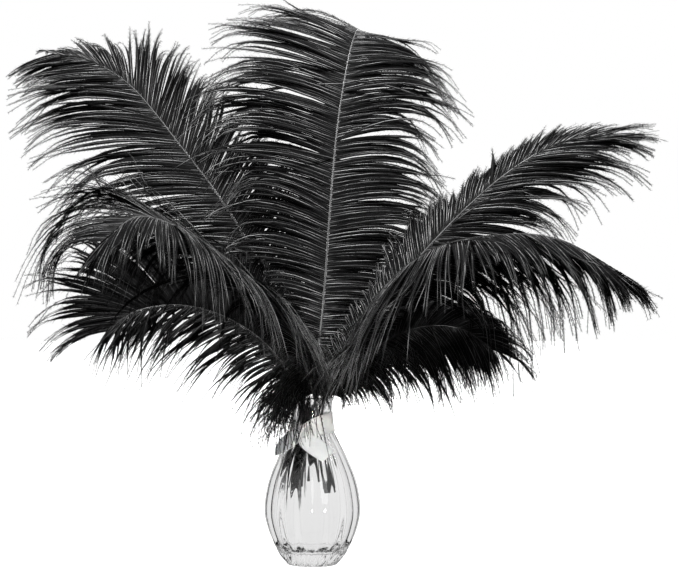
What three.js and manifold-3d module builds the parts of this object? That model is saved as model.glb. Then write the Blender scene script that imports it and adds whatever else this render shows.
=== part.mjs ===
// Seven ostrich plumes standing in a fluted glass bud vase, with a satin ribbon tied round its neck.
// Millimetres, +Z up. The origin is the centre of the vase's flat foot, on the surface that it stands on.
// The front of the bouquet faces -Y, and +X is its right.
import * as THREE from "three";
import { mergeVertices } from "three/addons/utils/BufferGeometryUtils.js";
import Module from "manifold-3d";

const wasm = await Module();
wasm.setup();

// ---- driving dimensions ----
const VASE_HEIGHT = 140;
const FLUTES = 16;
const FLUTE_DEPTH = 1.3;
const SIDES_PER_FLUTE = 4;
const WALL = 2.8;
const FLOOR = 12; // top of the thick glass bottom

const RIBBON_WIDTH = 16;
const RIBBON_THICKNESS = 0.8;
const RIBBON_GAP = 0.5; // clearance between ribbon and glass
const WRAP_BOTTOM = 108;
const WRAP_STEPS = 3;
const KNOT_ANGLE = -117; // compass angle, from +X towards +Y
const KNOT_HEIGHT = 112;
const KNOT_HALF_SIZE = [3.2, 7.5, 5.5]; // outwards, round the neck and up
const TAIL_OFF = RIBBON_GAP + 2.2 * RIBBON_THICKNESS; // the tails lie over the wrap
const TAIL_STEPS = 5;

const QUILL_RADIUS = 1.7; // at the cut end
const TIP_RADIUS = 0.5;
const QUILL_AT_LIP = 12; // how far from the axis each quill crosses the lip
const QUILL_AT_END = 17; // how far from the axis each cut end hangs
const LIP_TURN = 45; // degrees from the way a quill leans to where it crosses the lip
const END_TURN = 155; // and to its cut end: every quill passes the axis on the same side, so none meet
const BARE_QUILL = 40; // rachis above the lip before the vane's solid starts
const VANE_THICKNESS = 0.8;
const EDGE_THICKNESS = 0.4;
const QUILL_STATIONS = 5;
const VANE_STATIONS = 24;
const NOTCH = 0.88; // every second barb group is this share of its neighbour's length

// Outside of the vase, from the foot to the lip: [radius, height].
const OUTSIDE = [
  [21.0, 0],
  [23.0, 2],
  [28.0, 8.5],
  [33.8, 20],
  [37.6, 30],
  [40.4, 43],
  [39.6, 57],
  [35.8, 73],
  [29.1, 89],
  [22.0, 103],
  [17.6, 113.5],
  [16.1, 124],
  [16.3, 132.5],
  [17.4, 138],
  [17.2, VASE_HEIGHT - 0.4],
];
const LIP_TOP = [16.2, VASE_HEIGHT];
const INSIDE_FROM = 16; // height at which the inner wall starts to follow the outer one

// Each plume: `leans` is the compass angle of its quill in the vase, `end` the height of its cut end,
// `points` the rachis above the lip, and `face` the way the front of its vane looks. `left` and `right`
// are its barbs as seen from that front, each with four values from the foot of the vane to its tip for
// their length, `reach`, for the `angle` in degrees that they make with the rachis, and for `sag`, how far
// they hang. `back` is how far they curl away from the front.
const PLUMES = [
  {
    name: "plume_centre",
    leans: 80,
    end: 66,
    points: [
      [4, 16, 178], [10, 25, 234], [15, 34, 306], [21, 46, 372],
      [30, 63, 430], [37, 87, 458], [41, 112, 464],
    ],
    face: [0, -1, 0.1],
    left: { reach: [30, 140, 175, 85], angle: [75, 62, 58, 48], sag: [0.6, 0.65, 0.65, 0.6], back: 0.05 },
    right: { reach: [40, 130, 150, 65], angle: [80, 72, 64, 48], sag: [0.45, 0.45, 0.4, 0.4], back: 0.05 },
  },
  {
    name: "plume_back_left",
    leans: 131,
    end: 70,
    points: [
      [-16, 29, 182], [-44, 50, 248], [-80, 68, 307], [-118, 82, 357],
      [-162, 92, 410], [-200, 96, 434], [-232, 96, 440],
    ],
    face: [0.1, -1, 0.15],
    left: { reach: [40, 140, 160, 60], angle: [65, 50, 38, 26], sag: [0.5, 0.5, 0.5, 0.4], back: 0 },
    right: { reach: [25, 115, 95, 45], angle: [65, 62, 56, 35], sag: [0.3, 0.3, 0.3, 0.3], back: 0.3 },
  },
  {
    name: "plume_right",
    leans: 24,
    end: 63,
    points: [
      [28, 2, 176], [64, -4, 224], [101, -6, 270], [153, -8, 320],
      [201, -10, 350], [246, -14, 359],
    ],
    face: [-0.2, -1, 0.1],
    left: { reach: [30, 65, 52, 45], angle: [65, 57, 45, 25], sag: [0.3, 0.3, 0.3, 0.2], back: 0.3 },
    right: { reach: [30, 115, 130, 70], angle: [65, 48, 32, 18], sag: [0.7, 0.7, 0.7, 0.5], back: 0 },
  },
  {
    name: "plume_front_right",
    leans: -75,
    end: 67,
    points: [
      [28, -36, 184], [58, -74, 232], [94, -114, 261], [136, -148, 271],
      [184, -174, 268], [234, -192, 239],
    ],
    face: [-0.1, -0.1, 1],
    left: { reach: [25, 110, 115, 50], angle: [70, 65, 55, 35], sag: [0.8, 0.85, 0.8, 0.5], back: 0 },
    right: { reach: [30, 115, 105, 45], angle: [80, 73, 60, 35], sag: [0.8, 0.85, 0.8, 0.5], back: 0 },
  },
  {
    name: "plume_front_left",
    leans: -127,
    end: 62,
    points: [
      [-10, -38, 184], [-36, -84, 226], [-68, -124, 257], [-101, -158, 278],
      [-127, -183, 284], [-147, -208, 266],
    ],
    face: [0.35, -0.25, 1],
    left: { reach: [25, 90, 80, 45], angle: [80, 76, 70, 50], sag: [0.95, 0.95, 0.9, 0.6], back: 0 },
    right: { reach: [30, 120, 145, 80], angle: [60, 62, 62, 55], sag: [0.5, 0.5, 0.45, 0.3], back: 0 },
  },
  {
    name: "plume_low_left",
    leans: -178,
    end: 60,
    points: [
      [-22, -2, 164], [-46, -3, 190], [-78, -6, 209], [-113, -10, 217],
      [-146, -14, 212], [-170, -18, 196],
    ],
    face: [0, -1, 0.1],
    left: { reach: [15, 30, 32, 24], angle: [80, 74, 64, 35], sag: [0.2, 0.2, 0.2, 0.1], back: 0 },
    right: { reach: [15, 50, 56, 36], angle: [80, 70, 58, 35], sag: [0.45, 0.45, 0.4, 0.2], back: 0 },
  },
  {
    name: "plume_low_right",
    leans: -23,
    end: 72,
    points: [
      [38, -12, 168], [66, -24, 190], [96, -34, 200], [124, -42, 197],
      [146, -48, 182],
    ],
    face: [0, -1, 0.1],
    left: { reach: [15, 40, 44, 32], angle: [80, 70, 58, 35], sag: [0.45, 0.45, 0.4, 0.2], back: 0 },
    right: { reach: [15, 46, 50, 30], angle: [80, 74, 64, 35], sag: [0.2, 0.2, 0.2, 0.1], back: 0 },
  },
];

// ---- helpers ----
const DOWN = new THREE.Vector3(0, 0, -1);
const smooth = (x) => THREE.MathUtils.smoothstep(x, 0, 1);
const radians = THREE.MathUtils.degToRad;

// The faces between neighbouring rings of points. From `turnFrom` on they are split along their other
// diagonal, so that the two skins of a thin sheet are split alike and don't cross.
function sideFaces(rings, turnFrom = Infinity) {
  const size = rings[0].length;
  const faces = [];
  for (let r = 0; r + 1 < rings.length; r++)
    for (let i = 0; i < size; i++) {
      const a = r * size + i;
      const b = r * size + ((i + 1) % size);
      const [c, d] = [a + size, b + size];
      if (i < turnFrom) faces.push(a, b, c, b, d, c);
      else faces.push(a, b, d, a, d, c);
    }
  return faces;
}

// A closed surface through rings of points. Each ring holds an upper chain and a lower chain that share
// its two ends, so both end caps are plain strips between the chains.
function loft(rings, upperCount) {
  const size = rings[0].length;
  const faces = sideFaces(rings, upperCount - 1);
  const lower = (i) => (i === 0 ? 0 : size - i);
  const last = (rings.length - 1) * size;
  for (let i = 0; i + 1 < upperCount; i++) {
    const [p, q, r, s] = [i, i + 1, lower(i + 1), lower(i)];
    for (const [base, turned] of [[0, true], [last, false]])
      for (const [x, y, z] of [[p, q, r], [p, r, s]]) {
        if (x === y || y === z || x === z) continue;
        faces.push(base + x, base + (turned ? z : y), base + (turned ? y : z));
      }
  }
  const geometry = new THREE.BufferGeometry().setFromPoints(rings.flat());
  return geometry.setIndex(faces);
}

function toSolid(geometry) {
  const bare = geometry.index ? geometry.toNonIndexed() : geometry;
  const positions = new THREE.BufferGeometry().setAttribute("position", bare.getAttribute("position"));
  const merged = mergeVertices(positions, 1e-3);
  return new wasm.Manifold(
    new wasm.Mesh({
      numProp: 3,
      vertProperties: merged.attributes.position.array,
      triVerts: new Uint32Array(merged.index.array),
    }),
  );
}

function toGeometry(solid) {
  const { numProp, numVert, vertProperties, triVerts } = solid.getMesh();
  const positions = new Float32Array(numVert * 3);
  for (let i = 0; i < numVert; i++)
    positions.set(vertProperties.subarray(i * numProp, i * numProp + 3), i * 3);
  const geometry = new THREE.BufferGeometry();
  geometry.setAttribute("position", new THREE.BufferAttribute(positions, 3));
  geometry.setIndex(new THREE.BufferAttribute(triVerts, 1));
  geometry.computeVertexNormals();
  return geometry;
}

function facingOut(solid) {
  return solid.volume() < 0 ? toSolid(flipped(toGeometry(solid))) : solid;
}

function flipped(geometry) {
  const index = geometry.index.array;
  for (let i = 0; i < index.length; i += 3) [index[i + 1], index[i + 2]] = [index[i + 2], index[i + 1]];
  return geometry;
}

function polar(radius, angle, z) {
  return new THREE.Vector3(radius * Math.cos(radians(angle)), radius * Math.sin(radians(angle)), z);
}

function named(name, geometry, material) {
  const mesh = new THREE.Mesh(geometry, material);
  mesh.name = name;
  return mesh;
}

// ---- vase ----
function outsideRadius(z) {
  const i = Math.max(1, OUTSIDE.findIndex(([, height]) => height >= z));
  const [r0, z0] = OUTSIDE[i - 1];
  const [r1, z1] = OUTSIDE[i];
  return r0 + ((r1 - r0) * (z - z0)) / (z1 - z0);
}

function vaseGeometry() {
  const wallHeights = OUTSIDE.map(([, z]) => z).filter((z) => z > INSIDE_FROM && z < VASE_HEIGHT - 2);
  const inside = wallHeights.reverse().map((z) => [outsideRadius(z) - WALL, z]);
  const floor = [[outsideRadius(INSIDE_FROM) - WALL - 2, INSIDE_FROM - 1], [22, FLOOR], [0, FLOOR]];
  const mouth = [OUTSIDE.at(-1)[0] - WALL + 0.2, VASE_HEIGHT - 0.6];
  const profile = [[0, 0], ...OUTSIDE, LIP_TOP, mouth, ...inside, ...floor];
  const outerCount = OUTSIDE.length;
  const sides = FLUTES * SIDES_PER_FLUTE;
  const geometry = new THREE.LatheGeometry(profile.map(([r, z]) => new THREE.Vector2(r, z)), sides);
  const at = geometry.getAttribute("position");
  for (let side = 0; side <= sides; side++) {
    const groove = (1 - Math.cos((2 * Math.PI * side) / SIDES_PER_FLUTE)) / 2;
    profile.forEach(([r, z], row) => {
      const fluted = row >= 1 && row <= outerCount && z < OUTSIDE.at(-3)[1];
      const fade = smooth((OUTSIDE.at(-3)[1] - z) / 12);
      const radius = fluted ? r - FLUTE_DEPTH * fade * groove : r;
      const angle = (2 * Math.PI * side) / sides;
      at.setXYZ(side * profile.length + row, radius * Math.cos(angle), radius * Math.sin(angle), z);
    });
  }
  return geometry;
}

// ---- ribbon ----
// A point at a compass angle and height, standing off the outside of the glass.
function onGlass(angle, z, off) {
  return polar(outsideRadius(z) + off, angle, z);
}

// The band round the neck follows the glass a little way off.
function wrapSolid() {
  const step = RIBBON_WIDTH / WRAP_STEPS;
  const heights = Array.from({ length: WRAP_STEPS + 1 }, (_, i) => WRAP_BOTTOM + step * i);
  const wall = (off) => heights.map((z) => new THREE.Vector2(outsideRadius(z) + off, z));
  const outer = wall(RIBBON_GAP + RIBBON_THICKNESS);
  const wrap = new THREE.LatheGeometry([...outer, ...wall(RIBBON_GAP).reverse(), outer[0]], 32);
  wrap.rotateX(Math.PI / 2);
  return facingOut(toSolid(wrap));
}

function knotSolid() {
  const knot = new THREE.SphereGeometry(1, 10, 6);
  knot.scale(...KNOT_HALF_SIZE);
  const standOff = outsideRadius(KNOT_HEIGHT - KNOT_HALF_SIZE[2]) + RIBBON_GAP + KNOT_HALF_SIZE[0];
  knot.translate(standOff, 0, KNOT_HEIGHT);
  knot.rotateZ(radians(KNOT_ANGLE));
  return facingOut(toSolid(knot));
}

// A tail hangs from the knot over the shoulder of the vase to a compass angle and height, with its end
// standing off the glass. `slant` turns the cut end away from the upright.
function tailSolid(toAngle, toZ, lift, slant) {
  const rings = Array.from({ length: TAIL_STEPS + 1 }, (_, i) => {
    const share = i / TAIL_STEPS;
    const angle = THREE.MathUtils.lerp(KNOT_ANGLE, toAngle, share);
    const z = THREE.MathUtils.lerp(KNOT_HEIGHT, toZ, share);
    const off = TAIL_OFF + lift * share * share;
    const turn = THREE.MathUtils.radToDeg((RIBBON_WIDTH / 2) * Math.sin(slant)) / (outsideRadius(z) + off);
    const rise = (RIBBON_WIDTH / 2) * Math.cos(slant);
    const [a, b] = [onGlass(angle - turn, z - rise, off), onGlass(angle + turn, z + rise, off)];
    const proud = polar(RIBBON_THICKNESS / 2, angle, 0);
    return [a.clone().add(proud), b.clone().add(proud), b.clone().sub(proud), a.clone().sub(proud)];
  });
  const last = TAIL_STEPS * 4;
  const caps = [0, 2, 1, 0, 3, 2, last, last + 1, last + 2, last, last + 2, last + 3];
  const tail = new THREE.BufferGeometry().setFromPoints(rings.flat());
  return facingOut(toSolid(tail.setIndex([...sideFaces(rings), ...caps])));
}

function ribbonGeometry() {
  const frontTail = tailSolid(-74, 94, 0, radians(30));
  const sideTail = tailSolid(-163, 94, 5, radians(-35));
  return toGeometry(wrapSolid().add(knotSolid()).add(frontTail).add(sideTail));
}

// ---- plumes ----
// The shaft, from the cut end of the quill, over the lip, to the tip of the rachis.
function shaftOf(plume) {
  const end = polar(QUILL_AT_END, plume.leans + END_TURN, plume.end);
  const lip = polar(QUILL_AT_LIP, plume.leans + LIP_TURN, VASE_HEIGHT);
  const half = end.clone().lerp(lip, 0.5);
  const above = plume.points.map((p) => new THREE.Vector3(...p));
  return new THREE.CatmullRomCurve3([end, half, lip, ...above], false, "catmullrom", 0.5);
}

// A value that runs smoothly through evenly spaced ones.
function profile(values, share) {
  const at = share * (values.length - 1);
  const i = Math.min(Math.floor(at), values.length - 2);
  return values[i] + (values[i + 1] - values[i]) * smooth(at - i);
}

// A point on the barb, and the barb's own direction there.
function alongBarb(root, leaving, toward, sag, length, share) {
  const bend = toward.clone().sub(leaving).multiplyScalar(sag);
  const point = root.clone().addScaledVector(leaving, length * share);
  point.addScaledVector(bend, (length * share * share) / 2);
  const heading = leaving.clone().addScaledVector(bend, share).normalize();
  return { point, heading };
}

const BARB_SHARES = [1, 0.66, 0.33];
const RING_POINTS = 2 * (BARB_SHARES.length + 1) + 4;

function quillRing(centre, tangent, front, radius) {
  const side = tangent.clone().cross(front);
  return Array.from({ length: RING_POINTS }, (_, i) => {
    const angle = Math.PI - (2 * Math.PI * i) / RING_POINTS;
    const ring = centre.clone().addScaledVector(side, radius * Math.cos(angle));
    return ring.addScaledVector(front, radius * Math.sin(angle));
  });
}

function vaneRing(plume, centre, tangent, front, radius, share, notch) {
  const side = tangent.clone().cross(front);
  const half = [0, 1].map((which) => {
    const sign = which === 0 ? -1 : 1;
    const barbs = which === 0 ? plume.left : plume.right;
    const length = profile(barbs.reach, share) * notch;
    const sag = profile(barbs.sag, share);
    const angle = radians(profile(barbs.angle, share));
    const leaving = side.clone().multiplyScalar(sign * Math.sin(angle));
    leaving.addScaledVector(tangent, Math.cos(angle));
    leaving.addScaledVector(front, -barbs.back).normalize();
    const toward = DOWN.clone().addScaledVector(front, -barbs.back).normalize();
    return BARB_SHARES.map((t) => {
      const { point, heading } = alongBarb(centre, leaving, toward, sag, length, t);
      const normal = heading.cross(tangent).multiplyScalar(sign).normalize();
      const thick = THREE.MathUtils.lerp(VANE_THICKNESS, EDGE_THICKNESS, t) / 2;
      const rim = t === 1;
      return {
        upper: rim ? point : point.clone().addScaledVector(normal, thick),
        lower: rim ? point : point.clone().addScaledVector(normal, -thick),
      };
    });
  });
  const top = centre.clone().addScaledVector(front, radius);
  const bottom = centre.clone().addScaledVector(front, -radius);
  const [left, right] = half;
  return [
    ...left.map((p) => p.upper),
    top,
    ...right.map((p) => p.upper).reverse(),
    ...right.slice(1).map((p) => p.lower),
    bottom,
    ...left.slice(1).map((p) => p.lower).reverse(),
  ];
}

function plumeGeometry(plume) {
  const shaft = shaftOf(plume);
  const total = shaft.getLength();
  const lipShare = nearestShare(shaft, VASE_HEIGHT);
  const vaneFrom = lipShare + BARE_QUILL / total;
  const face = new THREE.Vector3(...plume.face);
  const rings = [];
  const addRing = (at, vaneShare, notch) => {
    const centre = shaft.getPointAt(at);
    const tangent = shaft.getTangentAt(at);
    const front = face.clone().addScaledVector(tangent, -face.dot(tangent)).normalize();
    const radius = THREE.MathUtils.lerp(QUILL_RADIUS, TIP_RADIUS, at);
    rings.push(
      vaneShare === null
        ? quillRing(centre, tangent, front, radius)
        : vaneRing(plume, centre, tangent, front, radius, vaneShare, notch),
    );
  };
  for (let i = 0; i <= QUILL_STATIONS; i++) addRing((vaneFrom * 0.97 * i) / QUILL_STATIONS, null, 1);
  for (let i = 0; i <= VANE_STATIONS; i++) {
    const share = i / VANE_STATIONS;
    addRing(vaneFrom + (1 - vaneFrom) * share, share, i % 2 ? NOTCH : 1);
  }
  return loft(rings, 2 * BARB_SHARES.length + 1);
}

// The share of the shaft's length at which it crosses a height, on its way up.
function nearestShare(shaft, height) {
  const steps = 200;
  for (let i = 0; i <= steps; i++) if (shaft.getPointAt(i / steps).z >= height) return i / steps;
  throw new Error("the shaft doesn't reach that height");
}

// ---- the bouquet ----
const glass = new THREE.MeshStandardMaterial({
  color: 0xf2f5f5,
  roughness: 0.05,
  metalness: 0,
  transparent: true,
  opacity: 0.35,
});
const satin = new THREE.MeshStandardMaterial({ color: 0xe9e9e9, roughness: 0.45, metalness: 0 });
const feather = new THREE.MeshStandardMaterial({ color: 0x141414, roughness: 0.7, metalness: 0 });

const bouquet = new THREE.Group();
bouquet.add(named("vase", toGeometry(facingOut(toSolid(vaseGeometry()))), glass));
bouquet.add(named("ribbon", ribbonGeometry(), satin));
for (const plume of PLUMES)
  bouquet.add(named(plume.name, toGeometry(facingOut(toSolid(plumeGeometry(plume)))), feather));

export default bouquet;
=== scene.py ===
"""Seven black ostrich plumes in a fluted glass bud vase with a white satin ribbon.

The object's lengths are in millimetres until mesh_piece turns them into metres; the floor and the lights are
in metres. Compass angles are in degrees from +X.
"""

import math

import bpy
import numpy as np
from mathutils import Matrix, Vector


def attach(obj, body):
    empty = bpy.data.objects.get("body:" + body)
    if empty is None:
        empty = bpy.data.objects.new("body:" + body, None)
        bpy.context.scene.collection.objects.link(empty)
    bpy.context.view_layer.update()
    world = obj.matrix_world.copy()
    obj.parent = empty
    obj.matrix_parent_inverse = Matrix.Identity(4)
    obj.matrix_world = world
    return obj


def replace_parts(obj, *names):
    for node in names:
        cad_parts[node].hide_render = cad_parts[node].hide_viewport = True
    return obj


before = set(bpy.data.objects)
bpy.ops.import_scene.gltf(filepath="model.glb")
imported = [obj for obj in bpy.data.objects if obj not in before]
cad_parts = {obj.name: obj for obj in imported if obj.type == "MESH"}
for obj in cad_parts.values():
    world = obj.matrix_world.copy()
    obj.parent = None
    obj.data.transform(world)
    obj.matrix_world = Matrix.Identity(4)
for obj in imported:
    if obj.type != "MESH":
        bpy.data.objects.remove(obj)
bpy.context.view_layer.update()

MM = 0.001
UV_NAME = "OFBake"
DOWN = np.array([0.0, 0.0, -1.0])

# ---- the camera ----
CAMERA_AT = (22.7, -1500.0, 233.3)
FOCAL_PX = 1785.7
IMAGE_WIDTH_PX = 679
SENSOR_MM = 36.0


def make_camera():
    data = bpy.data.cameras.new("camera")
    data.sensor_width = SENSOR_MM
    data.sensor_fit = "HORIZONTAL"
    data.lens = FOCAL_PX * SENSOR_MM / IMAGE_WIDTH_PX
    data.clip_start, data.clip_end = 0.05, 50
    camera = bpy.data.objects.new("camera", data)
    camera.location = [c * MM for c in CAMERA_AT]
    camera.rotation_euler = (math.radians(90), 0, 0)
    bpy.context.scene.collection.objects.link(camera)
    bpy.context.scene.camera = camera


make_camera()

# ---- the vase's outline, as the CAD has it, (radius, height) ----
VASE_HEIGHT = 140.0
FLUTES = 16
FLUTE_DEPTH = 1.3
WALL = 2.8
FLOOR = 12.0
OUTSIDE = np.array([
    [21.0, 0], [23.0, 2], [28.0, 8.5], [33.8, 20], [37.6, 30], [40.4, 43], [39.6, 57], [35.8, 73],
    [29.1, 89], [22.0, 103], [17.6, 113.5], [16.1, 124], [16.3, 132.5], [17.4, 138], [17.2, 139.6],
])

# ---- the plumes, with their shafts as the CAD has them ----
QUILL_RADIUS, TIP_RADIUS = 1.7, 0.5
QUILL_AT_LIP, QUILL_AT_END = 12.0, 17.0
LIP_TURN, END_TURN = 45.0, 155.0
BARE_QUILL = 40.0

# leans: the compass angle at which it leaves the vase. end: the height of its cut end. points: its shaft
# above the lip. face: where its front looks. left, right: the sides of its vane, seen from the front with the
# tip up. Four values run evenly from the foot of the vane to its tip: reach is the barbs' length, angle their
# angle to the shaft, and sag how far they bend down. back: how far they lie back. keep: the share of barbs
# that are there. stray: the share that leaves its clump, and long, how much further those reach. fluff: a
# scale for the barbules.
# Some plumes take a darker copy of the barb material: painted shade for plumes that lie in the shade of the
# others.
PLUMES = {
    "plume_centre": dict(
        leans=80, end=66, face=(0, -1, 0.1), barbs=225, spacing=1.3, seed=11,
        points=[(4, 16, 178), (10, 25, 234), (15, 34, 306), (21, 46, 372), (30, 63, 430), (37, 87, 458),
                (41, 112, 464)],
        left=dict(reach=(80, 150, 182, 112), angle=(75, 67, 73, 77), sag=(0.6, 0.6, 0.5, 0.35)),
        right=dict(reach=(40, 135, 138, 95), angle=(80, 74, 67, 66), sag=(0.45, 0.45, 0.6, 0.5)),
    ),
    "plume_back_left": dict(
        leans=131, end=70, face=(0.1, -1, 0.15), barbs=225, spacing=1.3, seed=23,
        points=[(-16, 29, 182), (-44, 50, 248), (-80, 68, 307), (-118, 82, 357), (-162, 92, 410),
                (-200, 96, 434), (-232, 96, 440)],
        left=dict(reach=(40, 140, 152, 50), angle=(65, 52, 44, 20), sag=(0.5, 0.5, 0.42, 0.2)),
        right=dict(reach=(80, 122, 118, 32), angle=(65, 57, 48, 22), sag=(0.3, 0.3, 0.32, 0.4), back=0.3),
    ),
    "plume_right": dict(
        leans=24, end=63, face=(-0.2, -1, 0.1), barbs=215, spacing=1.3, seed=37,
        points=[(28, 2, 176), (64, -4, 224), (101, -6, 270), (153, -8, 320), (201, -10, 350),
                (246, -14, 359)],
        left=dict(reach=(30, 60, 44, 40), angle=(65, 50, 36, 10), sag=(0.3, 0.35, 0.35, 0.05), back=0.3),
        right=dict(reach=(30, 115, 124, 50), angle=(65, 46, 28, 6), sag=(0.6, 0.6, 0.5, 0.1)),
    ),
    "plume_front_right": dict(
        leans=-75, end=67, face=(-0.55, -0.25, 0.75), barbs=225, spacing=1.35, shaft="black",
        barbs_painted_shade="shaded", seed=41,
        points=[(28, -36, 184), (58, -74, 232), (94, -114, 261), (136, -148, 271), (184, -174, 268),
                (234, -192, 239)],
        left=dict(reach=(150, 178, 116, 36), angle=(66, 56, 32, 6), sag=(0.95, 1.15, 1.0, 0.3), back=0.6),
        right=dict(reach=(45, 122, 66, 34), angle=(100, 100, 40, 5), sag=(0.3, 0.25, 0.45, 0.2), stray=0.07),
    ),
    "plume_front_left": dict(
        leans=-127, end=62, face=(0.35, -0.25, 1), barbs=225, spacing=1.35, barbs_painted_shade="shaded", seed=53,
        points=[(-10, -38, 184), (-36, -84, 226), (-68, -124, 257), (-101, -158, 278), (-127, -183, 284),
                (-147, -208, 266)],
        left=dict(reach=(40, 104, 102, 52), angle=(88, 92, 74, 4), sag=(0.5, 0.58, 0.65, 0.6)),
        right=dict(reach=(60, 184, 178, 88), angle=(62, 62, 62, 60), sag=(0.85, 0.76, 0.42, 0.92), back=0.05),
    ),
    "plume_low_left": dict(
        leans=-178, end=60, face=(0, -1, 0.1), barbs=180, spacing=1.4, shaft="black",
        barbs_painted_shade="dark_painted_shade", seed=67,
        points=[(-22, -2, 164), (-46, -3, 190), (-78, -6, 209), (-113, -10, 217), (-146, -14, 212),
                (-170, -18, 196)],
        left=dict(reach=(58, 62, 52, 24), angle=(66, 46, 36, 25), sag=(0.6, 0.5, 0.5, 0.4),
                  keep=0.85, stray=0.6, fluff=0.6, long=0.5),
        right=dict(reach=(70, 146, 158, 60), angle=(88, 64, 50, 24), sag=(0.7, 0.58, 0.5, 0.4)),
    ),
    "plume_low_right": dict(
        leans=-23, end=72, face=(0, -1, 0.1), barbs=180, spacing=1.4, shaft="black",
        barbs_painted_shade="dark_painted_shade", seed=79,
        points=[(38, -12, 168), (66, -24, 190), (96, -34, 200), (124, -42, 197), (146, -48, 182)],
        left=dict(reach=(25, 70, 82, 50), angle=(60, 52, 44, 20), sag=(0.6, 0.7, 0.85, 0.5)),
        right=dict(reach=(48, 74, 56, 24), angle=(62, 52, 42, 25), sag=(0.8, 0.85, 0.8, 0.5),
                   stray=0.3, fluff=0.75, long=0.3),
    ),
}


# ---- helpers ----
def unit(v):
    return v / np.maximum(np.linalg.norm(v, axis=-1, keepdims=True), 1e-9)


def smooth(x):
    x = np.clip(x, 0, 1)
    return x * x * (3 - 2 * x)


def polar(radius, angle, z):
    a = math.radians(angle)
    return np.array([radius * math.cos(a), radius * math.sin(a), z])


def profile(values, share):
    """A value that runs smoothly through evenly spaced ones."""
    values = np.asarray(values, float)
    at = np.clip(share, 0, 1) * (len(values) - 1)
    i = np.minimum(at.astype(int), len(values) - 2)
    return values[i] + (values[i + 1] - values[i]) * smooth(at - i)


def spline(points, count):
    """Points along a uniform Catmull-Rom curve, evenly spaced, with the curve's length."""
    p = np.asarray(points, float)
    p = np.vstack([2 * p[0] - p[1], p, 2 * p[-1] - p[-2]])
    at = np.linspace(0, len(p) - 3, 4000)
    i = np.minimum(at.astype(int), len(p) - 4)
    f = (at - i)[:, None]
    a, b, c, d = p[i], p[i + 1], p[i + 2], p[i + 3]
    m, n = (c - a) / 2, (d - b) / 2
    fine = ((2 * f**3 - 3 * f**2 + 1) * b + (f**3 - 2 * f**2 + f) * m
            + (3 * f**2 - 2 * f**3) * c + (f**3 - f**2) * n)
    run = np.concatenate([[0], np.cumsum(np.linalg.norm(np.diff(fine, axis=0), axis=1))])
    even = np.linspace(0, run[-1], count)
    return np.stack([np.interp(even, run, fine[:, k]) for k in range(3)], 1), run[-1]


def outside_radius(z):
    """The vase's radius at heights; past its ends it is the radius there."""
    return np.interp(z, OUTSIDE[:, 1], OUTSIDE[:, 0])


def scaled_sideways(points, scale):
    """Points moved to or from the vase's axis."""
    return points * np.stack([scale, scale, np.ones_like(scale)], -1)


def mesh_piece(name, vertices, faces, uv, material, slot):
    """A mesh in millimetres becomes a piece that rides on the one body. uv has a row for each vertex."""
    faces = np.asarray(faces)
    corners = faces.shape[1]
    mesh = bpy.data.meshes.new(name)
    mesh.vertices.add(len(vertices))
    mesh.vertices.foreach_set("co", (np.asarray(vertices) * MM).astype(np.float32).ravel())
    mesh.loops.add(faces.size)
    mesh.loops.foreach_set("vertex_index", faces.astype(np.int32).ravel())
    mesh.polygons.add(len(faces))
    mesh.polygons.foreach_set("loop_start", np.arange(0, faces.size, corners, dtype=np.int32))
    layer = mesh.uv_layers.new(name=UV_NAME)
    layer.data.foreach_set("uv", np.asarray(uv)[faces.ravel()].astype(np.float32).ravel())
    mesh.update(calc_edges=True)
    mesh.validate()
    mesh.shade_smooth()
    mesh.materials.append(material)
    piece = bpy.data.objects.new(name, mesh)
    bpy.context.scene.collection.objects.link(piece)
    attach(piece, "root")
    return piece


# ---- materials ----
def new_material(name):
    material = bpy.data.materials.new(name)
    material.use_nodes = True
    tree = material.node_tree
    return material, tree, tree.nodes["Principled BSDF"]


def add(tree, kind, **values):
    node = tree.nodes.new(kind)
    for key, value in values.items():
        setattr(node, key, value)
    return node


def stretched_noise(tree, scale, detail=2.0):
    """Noise over the UV map, stretched by scale along u and v."""
    uv = add(tree, "ShaderNodeUVMap", uv_map=UV_NAME)
    mapping = add(tree, "ShaderNodeMapping")
    mapping.inputs["Scale"].default_value = (*scale, 1)
    noise = add(tree, "ShaderNodeTexNoise", noise_dimensions="2D")
    noise.inputs["Scale"].default_value = 1
    noise.inputs["Detail"].default_value = detail
    tree.links.new(uv.outputs["UV"], mapping.inputs["Vector"])
    tree.links.new(mapping.outputs["Vector"], noise.inputs["Vector"])
    return noise.outputs["Fac"]


def ramp(tree, source, stops):
    """A colour ramp. Each stop is a place and a grey or a colour."""
    node = add(tree, "ShaderNodeValToRGB")
    elements = node.color_ramp.elements
    while len(elements) < len(stops):
        elements.new(0.5)
    for element, (at, colour) in zip(elements, stops):
        element.position = at
        element.color = (*np.broadcast_to(colour, 3), 1)
    tree.links.new(source, node.inputs["Fac"])
    return node.outputs["Color"]


def map_range(tree, source, from_ends=(0, 1), to_ends=(0, 1)):
    node = add(tree, "ShaderNodeMapRange")
    for socket, value in zip(("From Min", "From Max", "To Min", "To Max"), (*from_ends, *to_ends)):
        node.inputs[socket].default_value = value
    tree.links.new(source, node.inputs["Value"])
    return node.outputs["Result"]


def barb_material(name, dark, middle, light, specular):
    """Black-dyed barbs with a gloss, each a slightly different black."""
    material, tree, shader = new_material(name)
    tone = stretched_noise(tree, (2.5, 260), 3)
    colour = ramp(tree, tone, [(0.34, dark), (0.5, middle), (0.66, light)])
    tree.links.new(colour, shader.inputs["Base Color"])
    tree.links.new(map_range(tree, tone, to_ends=(0.32, 0.5)), shader.inputs["Roughness"])
    shader.inputs["Specular IOR Level"].default_value = specular
    return material


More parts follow.
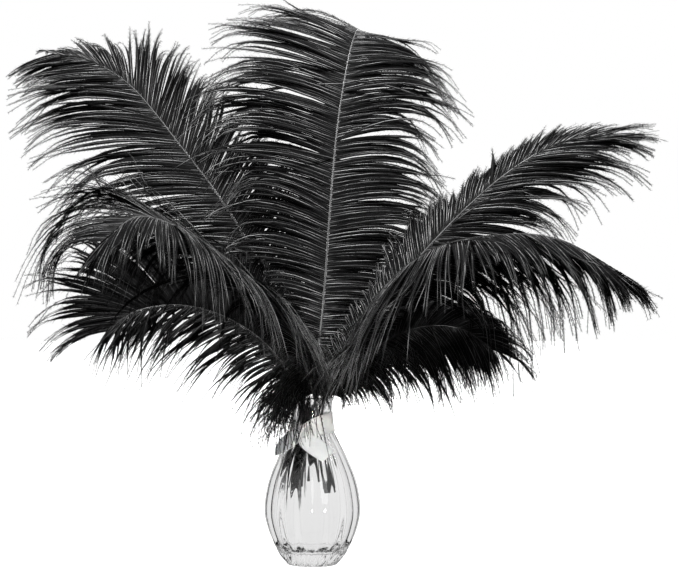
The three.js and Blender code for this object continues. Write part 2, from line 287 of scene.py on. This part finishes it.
def barbule_material():
    """The barbules between the barbs: flat black, a little greyer where they are worn."""
    material, tree, shader = new_material("feather_barbules")
    tone = stretched_noise(tree, (6, 260), 3)
    colour = ramp(tree, tone, [(0.3, 0.001), (0.7, (0.0060, 0.0060, 0.0062))])
    tree.links.new(colour, shader.inputs["Base Color"])
    tree.links.new(map_range(tree, tone, to_ends=(0.6, 0.9)), shader.inputs["Roughness"])
    shader.inputs["Specular IOR Level"].default_value = 0.03
    return material


def shaft_material(name, dark, light):
    """The dyed rachis: horn with a polish and a faint lengthwise grain, from a dark grey to a lighter one. A
    copy lighter than the black dye is painted highlight, the rachis's shine in the light.
    """
    material, tree, shader = new_material(name)
    grain = stretched_noise(tree, (14, 9), 4)
    colour = ramp(tree, grain, [(0.3, dark), (0.7, light)])
    tree.links.new(colour, shader.inputs["Base Color"])
    tree.links.new(map_range(tree, grain, to_ends=(0.3, 0.45)), shader.inputs["Roughness"])
    return material


def glass_material():
    material, tree, shader = new_material("vase_glass")
    shader.inputs["Base Color"].default_value = (1, 1, 1, 1)
    shader.inputs["Transmission Weight"].default_value = 1
    shader.inputs["Roughness"].default_value = 0.0
    shader.inputs["IOR"].default_value = 1.5
    return material


def satin_material():
    """White satin: fine threads along the ribbon, with a soft gloss."""
    material, tree, shader = new_material("ribbon_satin")
    threads = stretched_noise(tree, (12, 220), 2)
    colour = ramp(tree, threads, [(0.3, 0.86), (0.7, (0.94, 0.94, 0.935))])
    tree.links.new(colour, shader.inputs["Base Color"])
    tree.links.new(map_range(tree, threads, to_ends=(0.32, 0.45)), shader.inputs["Roughness"])
    bump = add(tree, "ShaderNodeBump")
    bump.inputs["Strength"].default_value = 0.25
    bump.inputs["Distance"].default_value = 0.0002
    tree.links.new(threads, bump.inputs["Height"])
    tree.links.new(bump.outputs["Normal"], shader.inputs["Normal"])
    shader.inputs["Sheen Weight"].default_value = 0.3
    return material


# The first barb material is for plumes in the light. The second and third are the same barbs painted darker:
# painted shade for plumes that lie in the shade of the others, the third for the deepest shade.
BARBS = {"open": barb_material("feather_barbs", 0.004, 0.028, 0.20, 0.30),
         "shaded": barb_material("feather_barbs_shaded", 0.002, 0.013, 0.11, 0.20),
         "dark_painted_shade": barb_material("feather_barbs_dark_painted_shade", 0.002, 0.006, 0.035, 0.12)}
BARBULES = barbule_material()
# The grey shaft is a black-dyed rachis painted lighter: painted highlight for its shine where it lies in the
# light. The black one is the dye's own colour, for plumes in shade.
SHAFTS = {"grey": shaft_material("feather_shaft", 0.025, 0.09),
          "black": shaft_material("feather_shaft_black", 0.002, 0.010)}
GLASS = glass_material()
SATIN = satin_material()

# ---- plumes ----
BARB_STEPS = 8
BARB_WIDTH = 0.32  # half the width at the root
WEB = 1.35  # how far the matted barbules reach on each side of a barb
BARBULE_LENGTH = 4.2
BARBULE_WIDTH = 0.85
BARBULE_ANGLE = 40.0
LIP_CLEARANCE = 1.6
SHAFT_SAMPLES = 800
CLUMP_SIZES = (1, 6)  # from the first up to, but not with, the second
DRIFT_LENGTH = 9.0
DRIFT = dict(angle=2.6, length=0.05, lift=0.06)  # slow change along the vane
ANGLE_SPREAD, LENGTH_SPREAD, SAG_SPREAD, LIFT_SPREAD = 4.0, 0.07, 0.2, 0.19  # from clump to clump
OWN_SPREAD = 0.25  # how much of that a barb has for itself
STRAY = 0.035


class Shaft:
    """The shaft of a plume, from its cut end, over the lip, to the tip of its rachis."""

    def __init__(self, plume):
        leans = plume["leans"]
        end = polar(QUILL_AT_END, leans + END_TURN, plume["end"])
        lip = polar(QUILL_AT_LIP, leans + LIP_TURN, VASE_HEIGHT)
        self.points, self.length = spline([end, (end + lip) / 2, lip, *plume["points"]], SHAFT_SAMPLES)
        self.tangents = unit(np.gradient(self.points, axis=0))
        face = np.array(plume["face"], float)
        self.fronts = unit(face - self.tangents * (self.tangents @ face)[:, None])
        self.sides = np.cross(self.tangents, self.fronts)
        lip_share = np.argmax(self.points[:, 2] >= VASE_HEIGHT) / (SHAFT_SAMPLES - 1)
        self.vane_from = lip_share + BARE_QUILL / self.length

    def at(self, share):
        """Position, tangent, front and side at shares of the length."""
        i = np.clip(share, 0, 1) * (SHAFT_SAMPLES - 1)
        whole = np.minimum(i.astype(int), SHAFT_SAMPLES - 2)
        f = (i - whole)[..., None]
        rows = (self.points, self.tangents, self.fronts, self.sides)
        return [a[whole] * (1 - f) + a[whole + 1] * f for a in rows]


def tube_rings(rings):
    """Quads of tubes that are closed around and open at the ends. rings is (tubes, steps, sides)."""
    tubes, steps, sides = rings
    base = (np.arange(tubes)[:, None, None] * steps + np.arange(steps - 1)[None, :, None]) * sides
    a = base + np.arange(sides)
    b = base + (np.arange(sides) + 1) % sides
    return np.stack([a, b, b + sides, a + sides], -1).reshape(-1, 4)


def shaft_piece(name, shaft, plume):
    steps, sides = 150, 8
    share = np.linspace(0, 1, steps)
    centre, _, front, side = shaft.at(share)
    radius = np.interp(share, [0, 0.3, 1], [QUILL_RADIUS, 0.85, 0.25])[:, None, None]
    angle = np.linspace(0, 2 * np.pi, sides, endpoint=False)[None, :, None]
    rings = centre[:, None] + radius * (side[:, None] * np.cos(angle) + 0.85 * front[:, None] * np.sin(angle))
    vertices = rings.reshape(-1, 3)
    faces = tube_rings((1, steps, sides))
    ends = np.array([centre[0], centre[-1] + (centre[-1] - centre[-2]) * 0.5])
    first, last = len(vertices), len(vertices) + 1
    last_ring = (steps - 1) * sides
    caps = []
    for k in range(sides):
        n = (k + 1) % sides
        caps += [[first, n, k], [last, last_ring + k, last_ring + n]]
    vertices = np.vstack([vertices, ends])
    triangles = np.vstack([faces[:, [0, 1, 2]], faces[:, [0, 2, 3]], caps])
    uv = np.stack([np.repeat(share, sides), np.tile(np.arange(sides) / sides, steps)], 1)
    uv = np.vstack([uv, [[0, 0.5], [1, 0.5]]])
    # Grey, the painted highlight, unless the plume lies in shade.
    material = SHAFTS[plume.get("shaft", "grey")]
    return mesh_piece(name + "_shaft", vertices, triangles, uv, material, "feather")


def barb_paths(root, leaving, toward, sag, length, t):
    """Paths that set out one way and bend toward another, (barbs, steps, 3)."""
    bend = (toward - leaving) * sag[:, None]
    run = length[:, None] * t
    return root[:, None] + leaving[:, None] * run[..., None] + bend[:, None] * (run * t / 2)[..., None]


def clumps(count, rng):
    """Neighbouring barbs cling together in clumps of uneven size: the clump of each barb."""
    sizes = []
    while sum(sizes) < count:
        sizes.append(int(rng.integers(*CLUMP_SIZES)))
    return np.repeat(np.arange(len(sizes)), sizes)[:count]


def vane_side(shaft, plume, sign, rng):
    """The paths of one side's barbs, (barbs, steps, 3), with the rachis's direction at each."""
    barbs = plume["left" if sign < 0 else "right"]
    back = barbs.get("back", 0)
    count = int(plume["barbs"] * barbs.get("keep", 1))
    vane = shaft.length * (1 - shaft.vane_from)
    low = -(BARE_QUILL - 3) / vane
    v = np.linspace(low, 1, count) + rng.normal(0, 0.2 / count, count)
    v = np.clip(v, low, 1)
    clump = clumps(count, rng)
    middle = np.bincount(clump, v) / np.bincount(clump)

    # slow random change along the vane, which neighbouring barbs share
    knots = np.linspace(low, 1, int(vane / DRIFT_LENGTH))
    order = np.argsort(v)
    drifts = {k: np.interp(v, knots, rng.normal(0, amount, len(knots)))[order] for k, amount in DRIFT.items()}

    def settings(share, spread):
        """Length, angle in radians, sag and lift off the vane's plane of barbs at shares of the vane."""
        n = len(share)
        foot = smooth((share - low) / -low)
        slow = {k: np.interp(share, v[order], d) for k, d in drifts.items()}
        angle = profile(barbs["angle"], share) + slow["angle"] + rng.normal(0, ANGLE_SPREAD * spread, n)
        length = profile(barbs["reach"], share) * np.where(share < 0, 0.45 + 0.55 * foot, 1)
        length = length * (1 + slow["length"] + rng.normal(0, LENGTH_SPREAD * spread, n)) * 1.03
        sag = profile(barbs["sag"], share) * (1 + rng.normal(0, SAG_SPREAD * spread, n))
        lift = slow["lift"] + rng.normal(0, LIFT_SPREAD * spread, n)
        return length, np.radians(angle), sag, lift

    def directions(share, angle, lift):
        at = shaft.vane_from + (1 - shaft.vane_from) * share
        centre, tangent, front, side = shaft.at(at)
        leaving = side * (sign * np.sin(angle))[:, None] + tangent * np.cos(angle)[:, None]
        leaving = unit(leaving + front * (lift - back)[:, None])
        toward = unit(DOWN - front * back)
        radius = QUILL_RADIUS + (TIP_RADIUS - QUILL_RADIUS) * at
        root = centre + side * (sign * radius * 0.8)[:, None]
        return root, leaving, toward, tangent

    t = np.linspace(0, 1, BARB_STEPS + 1)[None]
    c_length, c_angle, c_sag, c_lift = settings(middle, 1.0)
    c_root, c_leaving, c_toward, _ = directions(middle, c_angle, c_lift)
    length, angle, sag, lift = settings(v, OWN_SPREAD)
    length = length * 0.45 + c_length[clump] * 0.55
    stray = rng.random(count) < barbs.get("stray", STRAY)
    angle = angle + np.where(stray, rng.normal(0, 0.22, count), 0)
    lift = lift + np.where(stray, rng.normal(0, 0.2, count), 0)
    length = length * np.where(stray, 1.08 + barbs.get("long", 0) * np.sin(2.3 * np.arange(count)) ** 2, 1)
    root, leaving, toward, tangent = directions(v, angle, lift)
    own = barb_paths(root, leaving, toward, sag, length, t)
    together = barb_paths(c_root[clump], c_leaving[clump], c_toward[clump], c_sag[clump], length, t)
    cling = np.where(stray, 0.0, rng.uniform(0.35, 0.9, count))
    weight = (cling[:, None] * smooth((t - 0.22) / 0.78) ** 1.3)[..., None]
    path = own * (1 - weight) + together * weight
    # a slow wave along each barb, and a hook at its tip
    phase = rng.uniform(0, 2 * np.pi, (count, 1))
    wave = np.sin(phase + t * rng.uniform(3, 7, (count, 1))) * t * rng.uniform(0.4, 1.6, (count, 1))
    path = path + tangent[:, None] * wave[..., None]
    hook = np.clip(t - 0.65, 0, 1) ** 2 / 0.1225 * length[:, None] * rng.uniform(-0.02, 0.075, (count, 1))
    path = path + toward[:, None] * hook[..., None]
    return path, tangent


def off_the_vase(path):
    """Moves barbs that hang beside the vase out of its glass."""
    radius = np.hypot(path[..., 0], path[..., 1])
    limit = outside_radius(path[..., 2]) + LIP_CLEARANCE
    hit = (path[..., 2] < VASE_HEIGHT + 1) & (radius < limit)
    return scaled_sideways(path, np.where(hit, limit / np.maximum(radius, 1e-6), 1))


def barb_frames(paths, tangents):
    """Unit vectors along each barb, across it in the plane of the vane, and out of that plane."""
    heading = unit(np.gradient(paths, axis=1))
    across = unit(tangents[:, None] - heading * np.sum(heading * tangents[:, None], -1, keepdims=True))
    return heading, across, np.cross(heading, across)


def barb_mesh(paths, tangents, width=BARB_WIDTH):
    """Barbs as four-sided tapering strands.

    Returns vertices, triangles and UVs, with u along the barb and v across them all.
    """
    count, steps = paths.shape[:2]
    heading, across, normal = barb_frames(paths, tangents)
    share = np.linspace(0, 1, steps)
    half = width * (1.1 - 0.5 * share)[None, :, None]
    rings = np.stack([paths + across * half, paths + normal * half * 0.7,
                      paths - across * half, paths - normal * half * 0.7], 2)
    quads = tube_rings((count, steps, 4))
    ends = np.arange(count)[:, None] * steps * 4
    last = ends + (steps - 1) * 4
    triangles = np.vstack([quads[:, [0, 1, 2]], quads[:, [0, 2, 3]], ends + [0, 2, 1], ends + [0, 3, 2],
                           last + [0, 1, 2], last + [0, 2, 3]])
    strip = (np.arange(count) / count)[:, None, None]
    across_uv = np.array([0.2, 0.45, 0.8, 0.55])[None, None, :] / count
    uv = np.stack(np.broadcast_arrays(share[None, :, None], strip + across_uv), -1)
    return rings.reshape(-1, 3), triangles, uv.reshape(-1, 2)


def barbule_mesh(paths, tangents, spacing, rng, length, web):
    """The barbules of each barb.

    They are matted into a strip near the shaft, and loose triangles on both edges all along.
    """
    count, steps = paths.shape[:2]
    heading, across, normal = barb_frames(paths, tangents)
    share = np.linspace(0, 1, steps)
    # the matted strip
    kept = int(np.sum(share <= 0.9))
    reach = np.broadcast_to(web, count)[:, None] * (1 - smooth((share[:kept] - 0.4) / 0.5)) + 0.12
    reach = reach[..., None]
    centre, out = paths[:, :kept], across[:, :kept] * reach
    vertices = [np.stack([centre + out, centre, centre - out], 2).reshape(-1, 3)]
    base = (np.arange(count)[:, None, None] * kept + np.arange(kept - 1)[None, :, None]) * 3 + np.arange(2)
    quads = np.stack([base, base + 1, base + 4, base + 3], -1).reshape(-1, 4)
    triangles = [np.vstack([quads[:, [0, 1, 2]], quads[:, [0, 2, 3]]])]
    strip = (np.arange(count)[:, None, None] + np.array([0.1, 0.5, 0.9])) / count
    uvs = [np.stack(np.broadcast_arrays(share[None, :kept, None], strip), -1).reshape(-1, 2)]
    start = count * kept * 3

    long = np.sum(np.linalg.norm(np.diff(paths, axis=1), axis=2), axis=1)
    number = np.maximum((long / spacing).astype(int), 2)
    barb = np.repeat(np.arange(count), number)
    order = np.arange(len(barb)) - np.repeat(np.cumsum(number) - number, number)
    for edge in (1, -1):
        t = np.clip(0.04 + 0.96 * (order + rng.random(len(barb))) / number[barb], 0, 0.999)
        at = t * (steps - 1)
        i = at.astype(int)
        f = (at - i)[:, None]
        root, ahead, out, up = (a[barb, i] * (1 - f) + a[barb, i + 1] * f
                                for a in (paths, heading, across, normal))
        angle = np.radians(rng.normal(BARBULE_ANGLE, 8, len(barb)))
        tilt = rng.normal(0, 0.45, len(barb))
        sideways = out * (edge * np.cos(tilt))[:, None] + up * np.sin(tilt)[:, None]
        direction = ahead * np.cos(angle)[:, None] + sideways * np.sin(angle)[:, None]
        size = np.broadcast_to(length, count)[barb] * (0.55 + 0.45 * smooth(t / 0.35))
        size = size * (1 - 0.5 * smooth((t - 0.6) / 0.4)) * rng.uniform(0.7, 1.25, len(barb))
        grip = ahead * (BARBULE_WIDTH / 2 * (1 - 0.55 * t))[:, None]
        corners = np.stack([root - grip, root + grip, root + direction * size[:, None]], 1)
        n = len(barb)
        vertices.append(corners.reshape(-1, 3))
        triangles.append(start + np.arange(n)[:, None] * 3 + [0, 1, 2])
        v = (barb + 0.5) / count
        uvs.append(np.stack([np.stack([t - 0.002, v], 1), np.stack([t + 0.002, v], 1),
                             np.stack([t, v + edge * 0.3 / count], 1)], 1).reshape(-1, 2))
        start += n * 3
    return np.vstack(vertices), np.vstack(triangles), np.vstack(uvs)


def plume_pieces(name, plume):
    rng = np.random.default_rng(plume["seed"])
    shaft = Shaft(plume)
    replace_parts(shaft_piece(name, shaft, plume), name)
    sides = [vane_side(shaft, plume, sign, rng) for sign in (-1, 1)]
    paths = off_the_vase(np.concatenate([s[0] for s in sides]))
    tangents = np.concatenate([s[1] for s in sides])
    barbs = barb_mesh(paths, tangents)
    fluff = np.repeat([plume[k].get("fluff", 1.0) for k in ("left", "right")], [len(s[0]) for s in sides])
    barbules = barbule_mesh(paths, tangents, plume["spacing"], rng, BARBULE_LENGTH * fluff, WEB * fluff)
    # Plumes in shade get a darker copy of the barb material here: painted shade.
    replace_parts(mesh_piece(name + "_barbs", *barbs, BARBS[plume.get("barbs_painted_shade", "open")], "feather"), name)
    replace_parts(mesh_piece(name + "_barbules", *barbules, BARBULES, "feather"), name)


for plume_name, plume_data in PLUMES.items():
    plume_pieces(plume_name, plume_data)


def strands(roots, tips, bow, rng, drawn=1.0):
    """Paths from roots to tips, bowed and wavering.

    Drawn ones come together sideways before they reach their tips.
    """
    t = np.linspace(0, 1, BARB_STEPS + 1)[None, :, None]
    along = np.concatenate([smooth(t * drawn) if drawn > 1 else t] * 2 + [t], -1)
    path = roots[:, None] * (1 - along) + tips[:, None] * along + bow[:, None] * (4 * t * (1 - t))
    phase = rng.uniform(0, 2 * np.pi, (len(roots), 1, 3))
    return path + np.sin(phase + 5 * t) * t * rng.uniform(0.4, 1.8, (len(roots), 1, 3))


def loose_down(name, replaces, paths, rng, spacing, length, width):
    """Loose strands with barbules every so often, of the given length, on barbs of the given half width."""
    facing = np.tile([0.0, 0.3, 1.0], (len(paths), 1))
    barbs = barb_mesh(paths, facing, width)
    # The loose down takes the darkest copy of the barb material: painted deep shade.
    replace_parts(mesh_piece(name + "_barbs", *barbs, BARBS["dark_painted_shade"], "feather"), replaces)
    barbules = barbule_mesh(paths, facing, spacing, rng, length, web=0.3)
    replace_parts(mesh_piece(name + "_barbules", *barbules, BARBULES, "feather"), replaces)


def down_at_neck():
    """Down that hangs from the feet of the front plumes over the lip, mostly to the front left."""
    rng = np.random.default_rng(91)
    count = 210
    angle = np.radians(rng.normal(-128, 34, count))
    roots = np.stack([9 * np.cos(angle), 9 * np.sin(angle), rng.uniform(143, 176, count)], 1)
    side = np.clip(rng.normal(0.45, 0.3, count), -0.15, 1)
    tips = np.stack([-6 - 50 * side + rng.normal(0, 7, count), -27 + rng.normal(0, 8, count) + 6 * side,
                     122 - 16 * side - 30 * rng.random(count) ** 2 + rng.normal(0, 7, count)], 1)
    bow = np.stack([-3 - 8 * side + rng.normal(0, 4, count), -12 + rng.normal(0, 3, count),
                    7 + rng.normal(0, 6, count)], 1)
    path = off_the_vase(strands(roots, tips, bow, rng))
    loose_down("down_neck", "plume_front_left", path, rng, spacing=1.4, length=2.4, width=0.28)


def down_at_right():
    """A sparser skirt under the right-hand plumes, with a few long single strands."""
    rng = np.random.default_rng(93)
    count = 150
    share = rng.random(count)
    roots = np.stack([8 + 70 * share, -8 - 14 * share, 168 + 24 * share], 1)
    long = np.where(rng.random(count) < 0.1, 28 * rng.random(count), 0)
    tips = roots + np.stack([16 + rng.normal(0, 13, count), -10 + rng.normal(0, 9, count),
                             -12 - 28 * rng.random(count) - long], 1)
    bow = np.stack([5 + rng.normal(0, 3, count), np.full(count, -3.0), 4 + rng.normal(0, 3, count)], 1)
    path = off_the_vase(strands(roots, tips, bow, rng))
    loose_down("down_right", "plume_front_right", path, rng, spacing=1.4, length=2.4, width=0.26)


def down_in_vase():
    """Down pushed inside the neck with the quills, drawn out into a few points in the belly."""
    rng = np.random.default_rng(97)
    points = np.array([[-27.5, -4, 70], [-20.5, -10, 63], [-12, -13, 60], [-4, -11, 70]])
    share = [0.24, 0.34, 0.28, 0.14]
    count = 150
    which = rng.choice(len(points), count, p=share)
    angle = rng.uniform(0, 2 * np.pi, count)
    radius = rng.uniform(1, 8.5, count)
    roots = np.stack([-3 + radius * np.cos(angle), -2 + radius * np.sin(angle),
                      rng.uniform(112, 138, count)], 1)
    tips = points[which] + rng.normal(0, 1, (count, 3)) * [0.6, 0.6, 8]
    bow = np.tile([-1.5, -1.0, 0.0], (count, 1))
    path = strands(roots, tips, bow, rng, drawn=1.5)
    away = np.hypot(path[..., 0], path[..., 1])
    limit = outside_radius(path[..., 2]) - WALL - 2.2
    path = scaled_sideways(path, np.minimum(1, limit / np.maximum(away, 1e-6)))
    loose_down("down_in_vase", "plume_low_left", path, rng, spacing=1.0, length=0.9, width=0.3)


down_at_neck()
down_at_right()
down_in_vase()


# ---- vase ----
CRINKLE = 0.34
CRINKLED_TO = 19.0
INNER_WAVER = 0.04


def vase_profile():
    """Rows of the vase's section, as (radius, height, how far the flutes reach), and the first inner one."""
    heights = np.concatenate([[0, 0.5, 1.2, 2], np.linspace(3, 137, 60), np.linspace(137.6, 139.4, 5)])
    knots, _ = spline(np.column_stack([OUTSIDE, np.zeros(len(OUTSIDE))]), 600)
    radius = np.interp(heights, knots[:, 1], knots[:, 0])
    fade = smooth((124 - heights) / 12) * smooth(heights / 2)
    outer = [(r, z, f) for r, z, f in zip(radius, heights, fade)]
    lip = [(16.9, 139.9, 0), (16.2, 140, 0), (15.4, 139.9, 0), (14.8, 139.6, 0)]
    inner_heights = np.linspace(138.5, 20, 50)
    inner = [(np.interp(z, knots[:, 1], knots[:, 0]) - WALL, z, 0) for z in inner_heights]
    floor = [(26.5, 16, 0), (24.6, 14, 0), (22, 12.4, 0), (18, FLOOR, 0), (12, FLOOR, 0), (6, FLOOR, 0)]
    outside = [(6, 0, 0), (14, 0, 0), (19, 0, 0), *outer, *lip]
    return [*outside, *inner, *floor], len(outside)


def vase_piece():
    rows, first_inner = vase_profile()
    around = FLUTES * 12
    angle = np.linspace(0, 2 * np.pi, around, endpoint=False)
    r, z, fluted = (np.array(c, float)[:, None] for c in zip(*rows))
    radius = r - FLUTE_DEPTH * fluted * (1 - np.cos(FLUTES * angle)[None]) / 2
    # the thick bottom is crinkled all round, and the inner wall wavers a little
    crinkle = CRINKLE * np.sin(41 * angle + 0.9 * z) * np.sin(1.1 * z + 7 * angle)
    crinkle = crinkle * smooth((CRINKLED_TO - z) / 6) * (z > 1.5)
    inside = (np.arange(len(rows))[:, None] >= first_inner) * smooth((110 - z) / 15) * (r > 24)
    radius = radius + crinkle + INNER_WAVER * inside * np.sin(11 * angle + 1.5 * np.sin(z / 13))
    rings = np.stack([radius * np.cos(angle), radius * np.sin(angle), np.broadcast_to(z, radius.shape)], -1)
    steps = len(rows)
    vertices = np.vstack([rings.reshape(-1, 3), [[0, 0, 0], [0, 0, FLOOR]]])
    quads = tube_rings((1, steps, around))
    triangles = np.vstack([quads[:, [0, 1, 2]], quads[:, [0, 2, 3]]])
    low, high = steps * around, steps * around + 1
    turn = (np.arange(around) + 1) % around
    top = (steps - 1) * around
    caps = np.vstack([
        np.stack([np.full(around, low), turn, np.arange(around)], 1),
        np.stack([np.full(around, high), top + np.arange(around), top + turn], 1),
    ])
    triangles = np.vstack([triangles, caps])
    uv = np.stack(np.broadcast_arrays(angle[None] / 7, np.linspace(0, 1, steps)[:, None]), -1).reshape(-1, 2)
    uv = np.vstack([uv, [[0.5, 0], [0.5, 1]]])
    piece = mesh_piece("vase_glass", vertices, triangles, uv, GLASS, "glass")
    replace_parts(piece, "vase")


vase_piece()


# ---- ribbon ----
RIBBON_WIDTH = 16.0
RIBBON_THICKNESS = 0.3
KNOT_ANGLE, KNOT_HEIGHT = -117.0, 112.0
KNOT_WIDTH = 13.0
TAIL_OFF_GLASS = 2.4


def strip_grid(points):
    """Vertices, quads and UVs of a grid of points, (along, across, 3)."""
    along, across = points.shape[:2]
    index = np.arange(along * across).reshape(along, across)
    quads = np.stack([index[:-1, :-1], index[1:, :-1], index[1:, 1:], index[:-1, 1:]], -1).reshape(-1, 4)
    uv = np.stack(np.meshgrid(np.linspace(0, 1, along), np.linspace(0, 1, across), indexing="ij"), -1)
    return points.reshape(-1, 3), quads, uv.reshape(-1, 2)


def on_glass(angle, z, off):
    """Points standing off the glass, for arrays of compass angles in degrees and heights."""
    a = np.radians(angle)
    radius = outside_radius(z) + off
    return np.stack([radius * np.cos(a), radius * np.sin(a), z], -1)


def band():
    """Once round the neck, tilted up to the right, gathered where it enters the knot."""
    u = np.linspace(0, 1, 121)[:, None]
    v = np.linspace(-0.5, 0.5, 13)[None]
    angle = KNOT_ANGLE + 360 * u
    near_knot = np.exp(-((np.minimum(u, 1 - u) / 0.06) ** 2))
    centre = 115.5 + 4.2 * np.cos(np.radians(angle))
    width = RIBBON_WIDTH * (1 - 0.45 * near_knot)
    z = centre + width * v
    off = 0.9 + 0.5 * near_knot * (1 + np.sin(22 * v)) + 0.25 * np.sin(np.radians(angle * 3)) * v
    return on_glass(angle + 0 * v, z, off)


def tail(to_angle, to_z, lift, slant, phase):
    """Hangs from the knot to a cut end, widening from the gather and rippling a little."""
    u = np.linspace(0, 1, 41)[:, None]
    v = np.linspace(-0.5, 0.5, 13)[None]
    angle = KNOT_ANGLE + (to_angle - KNOT_ANGLE) * u
    z = KNOT_HEIGHT + (to_z - KNOT_HEIGHT) * u
    gather = 1 - 0.5 * np.exp(-((u / 0.22) ** 2))
    width = RIBBON_WIDTH * gather
    rise, turn = np.cos(math.radians(slant)), np.sin(math.radians(slant))
    stand = TAIL_OFF_GLASS + lift * u**2 + 0.5 * np.sin(6 * u + phase + 5 * v) * (0.4 + u)
    radius = outside_radius(z) + stand
    side = np.degrees(width * v * turn / radius)
    return on_glass(angle + side, z + width * v * rise, stand)


def knot():
    """A short crumpled loop of ribbon over the band."""
    u = np.linspace(0, 1, 61)[:, None]
    v = np.linspace(-0.5, 0.5, 17)[None]
    turn = 2 * np.pi * u
    width = KNOT_WIDTH * (1 + 0.12 * np.sin(3 * turn))
    across = width * v
    rise = 5.2 * np.cos(turn) + 0.5 * np.sin(18 * v + turn)
    stand = 3.6 + 2.4 * np.sin(turn) + 0.55 * np.sin(14 * v + 2 * turn)
    z = KNOT_HEIGHT + rise + 0.12 * across
    radius = outside_radius(z) + stand
    return on_glass(KNOT_ANGLE + np.degrees(across / radius), z, stand)


def ribbon_piece():
    vertices, quads, uvs, start = [], [], [], 0
    sheets = [band(), knot(), tail(to_angle=-61, to_z=92.5, lift=0.5, slant=56, phase=0.4),
              tail(to_angle=-160, to_z=98, lift=5, slant=-35, phase=2.2)]
    for points in sheets:
        p, q, uv = strip_grid(points)
        vertices.append(p)
        quads.append(q + start)
        uvs.append(uv)
        start += len(p)
    piece = mesh_piece("ribbon_satin", np.vstack(vertices), np.vstack(quads), np.vstack(uvs), SATIN, "satin")
    solidify = piece.modifiers.new("thickness", "SOLIDIFY")
    solidify.thickness = RIBBON_THICKNESS * MM
    solidify.offset = 0
    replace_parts(piece, "ribbon")


ribbon_piece()


# ---- the stage, in metres ----
STAGE_HALF = 6.0
STAGE_BELOW = 0.0003


def make_stage():
    """A pale floor that is seen directly but isn't in the glass or in the light on the object."""
    mesh = bpy.data.meshes.new("floor")
    corners = [(x * STAGE_HALF, y * STAGE_HALF, 0) for x, y in ((-1, -1), (1, -1), (1, 1), (-1, 1))]
    mesh.from_pydata(corners, [], [(0, 1, 2, 3)])
    floor = bpy.data.objects.new("floor", mesh)
    floor.location.z = -STAGE_BELOW
    material, tree, shader = new_material("stage_white")
    shader.inputs["Base Color"].default_value = (0.8, 0.8, 0.8, 1)
    shader.inputs["Roughness"].default_value = 0.9
    shader.inputs["Specular IOR Level"].default_value = 0.0
    shader.inputs["Emission Color"].default_value = (1, 1, 1, 1)
    shader.inputs["Emission Strength"].default_value = 0.9
    mesh.materials.append(material)
    bpy.context.scene.collection.objects.link(floor)
    floor.visible_diffuse = floor.visible_glossy = floor.visible_transmission = False


def make_world():
    """White seen directly, pale grey that dims to the sides through the glass, and light from above."""
    world = bpy.data.worlds.new("studio")
    world.use_nodes = True
    tree = world.node_tree
    directions = add(tree, "ShaderNodeTexCoord")
    parts = add(tree, "ShaderNodeSeparateXYZ")
    tree.links.new(directions.outputs["Generated"], parts.inputs["Vector"])
    sizes = []
    for axis in "XY":
        size = add(tree, "ShaderNodeMath", operation="ABSOLUTE")
        tree.links.new(parts.outputs[axis], size.inputs[0])
        sizes.append(size.outputs["Value"])
    level = add(tree, "ShaderNodeMath", operation="MAXIMUM")
    tree.links.new(sizes[0], level.inputs[0])
    tree.links.new(sizes[1], level.inputs[1])
    through = ramp(tree, level.outputs["Value"],
                   [(0.3, 0.72), (0.7, 0.82), (0.93, 0.85), (0.985, 0.82), (1.0, 0.80)])
    lighting = ramp(tree, map_range(tree, parts.outputs["Z"], from_ends=(-1, 1)),
                    [(0.3, 0.02), (0.55, 0.09), (0.95, 0.7)])
    ray = add(tree, "ShaderNodeLightPath")
    mixed = add(tree, "ShaderNodeMix", data_type="RGBA")
    tree.links.new(ray.outputs["Is Transmission Ray"], mixed.inputs["Factor"])
    tree.links.new(lighting, mixed.inputs["A"])
    tree.links.new(through, mixed.inputs["B"])
    seen = add(tree, "ShaderNodeMix", data_type="RGBA")
    seen.inputs["B"].default_value = (1, 1, 1, 1)
    tree.links.new(ray.outputs["Is Camera Ray"], seen.inputs["Factor"])
    tree.links.new(mixed.outputs["Result"], seen.inputs["A"])
    tree.links.new(seen.outputs["Result"], tree.nodes["Background"].inputs["Color"])
    bpy.context.scene.world = world


def soft_light(name, at, aim, size, power, spread=180):
    """A disk of light that isn't seen itself. power is in watts and spread in degrees."""
    data = bpy.data.lights.new(name, "AREA")
    data.shape, data.size, data.energy = "DISK", size, power
    data.spread = math.radians(spread)
    light = bpy.data.objects.new(name, data)
    light.location = at
    light.rotation_euler = (Vector(aim) - Vector(at)).to_track_quat("-Z", "Y").to_euler()
    light.visible_camera = light.visible_transmission = False
    bpy.context.scene.collection.objects.link(light)


make_stage()
make_world()
soft_light("key", at=(-0.6, -1.0, 2.3), aim=(0, 0, 0.25), size=0.35, power=225)
soft_light("fill", at=(1.4, -0.6, 1.8), aim=(0, 0, 0.25), size=1.0, power=30)
soft_light("front", at=(0.3, -2.2, 0.9), aim=(0, 0, 0.2), size=1.2, power=9)
soft_light("vase", at=(0.02, -0.7, 0.08), aim=(0, 0, 0.112), size=0.2, power=0.078, spread=10)
soft_light("back", at=(0.9, 1.8, 1.4), aim=(0, 0, 0.25), size=1.0, power=45)
view = bpy.context.scene.view_settings
view.view_transform = "Standard"
view.look = "None"
